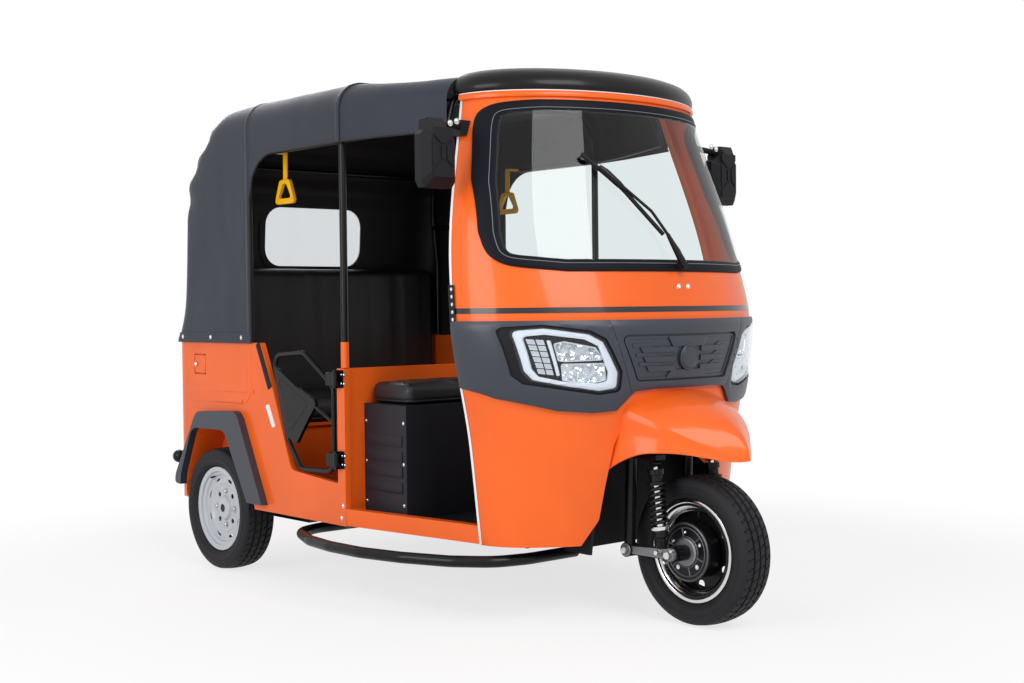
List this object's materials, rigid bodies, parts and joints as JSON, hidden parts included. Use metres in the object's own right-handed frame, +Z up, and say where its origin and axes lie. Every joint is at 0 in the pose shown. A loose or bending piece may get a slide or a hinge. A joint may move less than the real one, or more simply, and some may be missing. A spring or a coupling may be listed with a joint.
{
  "type": "auto rickshaw",
  "caption": "Auto rickshaw with a curved steel cowl and windscreen, open sides, a passenger bench under a fabric canopy, a leading-link fork and tubular step bars.",
  "frame": {"origin": "on the ground, at the middle of the vehicle's length and width", "axes": "-Y is the way it drives, +X is the driver's left, +Z is up"},
  "size_m": [1.5664, 2.6898, 1.866],
  "materials": {
    "orange_paint": "gloss",
    "dark_plastic": "fine grain",
    "black_paint": "semi-gloss",
    "canopy_fabric": "coated cloth",
    "seat_cover": "grained vinyl",
    "clear_glass": "clear",
    "clear_film": "soft clear sheet",
    "lamp_lens": "clear lens",
    "red_lens": "tail lens",
    "rubber": "matt",
    "tyre": "matt",
    "silver_rim": "silver paint",
    "black_rim": "black paint with a bright edge",
    "engine_metal": "raw casting",
    "zinc_steel": "zinc plated",
    "yellow_plastic": "moulded"
  },
  "bodies": {
    "root": {"frame_rails": "black_paint", "cross_members": "black_paint", "tow_plate": "black_paint", "head_support": "black_paint", "floor_pan": "dark_plastic", "door_sills": "orange_paint", "front_cowl": "orange_paint", "wheelhouse": "dark_plastic", "front_fender": "orange_paint", "fascia": "dark_plastic", "grille": "dark_plastic", "headlamp_right": "lamp_lens", "headlamp_left": "lamp_lens", "windscreen": "clear_glass", "windscreen_gasket": "rubber", "wiper": "black_paint", "roof_visor": "dark_plastic", "dashboard": "dark_plastic", "driver_seat_base": "dark_plastic", "driver_seat_cushion": "seat_cover", "partition": "orange_paint", "side_posts": "black_paint", "canopy_frame": "black_paint", "canopy": "canopy_fabric", "rear_window": "clear_film", "rear_tub": "orange_paint", "arch_flares": "dark_plastic", "passenger_seat_base": "black_paint", "passenger_seat_cushion": "seat_cover", "passenger_seat_back": "seat_cover", "engine_block": "engine_metal", "rear_suspension": "black_paint", "muffler": "zinc_steel", "step_bars": "black_paint", "rear_bumper": "black_paint", "tail_lamps": "red_lens", "plate_bracket": "black_paint", "mirrors": "dark_plastic", "grab_handles": "yellow_plastic", "door_hinges": "black_paint", "flap_hinge": "black_paint", "lid_hinges": "black_paint"},
    "steering": {"fork": "black_paint", "shock_absorbers": "zinc_steel", "handlebar": "black_paint"},
    "front_wheel": {"front_rim": "black_rim", "front_tyre": "tyre"},
    "rear_wheel_right": {"rear_rim_right": "silver_rim", "rear_tyre_right": "tyre"},
    "rear_wheel_left": {"rear_rim_left": "silver_rim", "rear_tyre_left": "tyre"},
    "door_right": {"door_right": "black_paint"},
    "door_left": {"door_left": "black_paint"},
    "fuel_flap": {"fuel_flap": "orange_paint"},
    "rear_lid": {"rear_lid": "orange_paint"}
  },
  "joints": [
    {"name": "steer", "type": "hinge", "parent": "root", "child": "steering", "pos_m": [0, -1.0501, 0.247], "axis": [0, 0.342, 0.9397], "range_deg": [-38, 38]},
    {"name": "front_wheel_spin", "type": "hinge", "parent": "steering", "child": "front_wheel", "pos_m": [0, -1.098, 0.247], "axis": [1, 0, 0], "continuous": true},
    {"name": "rear_wheel_right_spin", "type": "hinge", "parent": "root", "child": "rear_wheel_right", "pos_m": [-0.597, 0.922, 0.247], "axis": [1, 0, 0], "continuous": true},
    {"name": "rear_wheel_left_spin", "type": "hinge", "parent": "root", "child": "rear_wheel_left", "pos_m": [0.597, 0.922, 0.247], "axis": [1, 0, 0], "continuous": true},
    {"name": "door_right_swing", "type": "hinge", "parent": "root", "child": "door_right", "pos_m": [-0.67, 0.043, 0.51], "axis": [0, 0, 1], "range_deg": [0, 95]},
    {"name": "door_left_swing", "type": "hinge", "parent": "root", "child": "door_left", "pos_m": [0.67, 0.043, 0.51], "axis": [0, 0, -1], "range_deg": [0, 95]},
    {"name": "fuel_flap_swing", "type": "hinge", "parent": "root", "child": "fuel_flap", "pos_m": [-0.646, 1.02, 0.833], "axis": [0, 0, 1], "range_deg": [0, 105]},
    {"name": "rear_lid_swing", "type": "hinge", "parent": "root", "child": "rear_lid", "pos_m": [0, 1.282, 0.878], "axis": [1, 0, 0], "range_deg": [0, 80]}
  ]
}
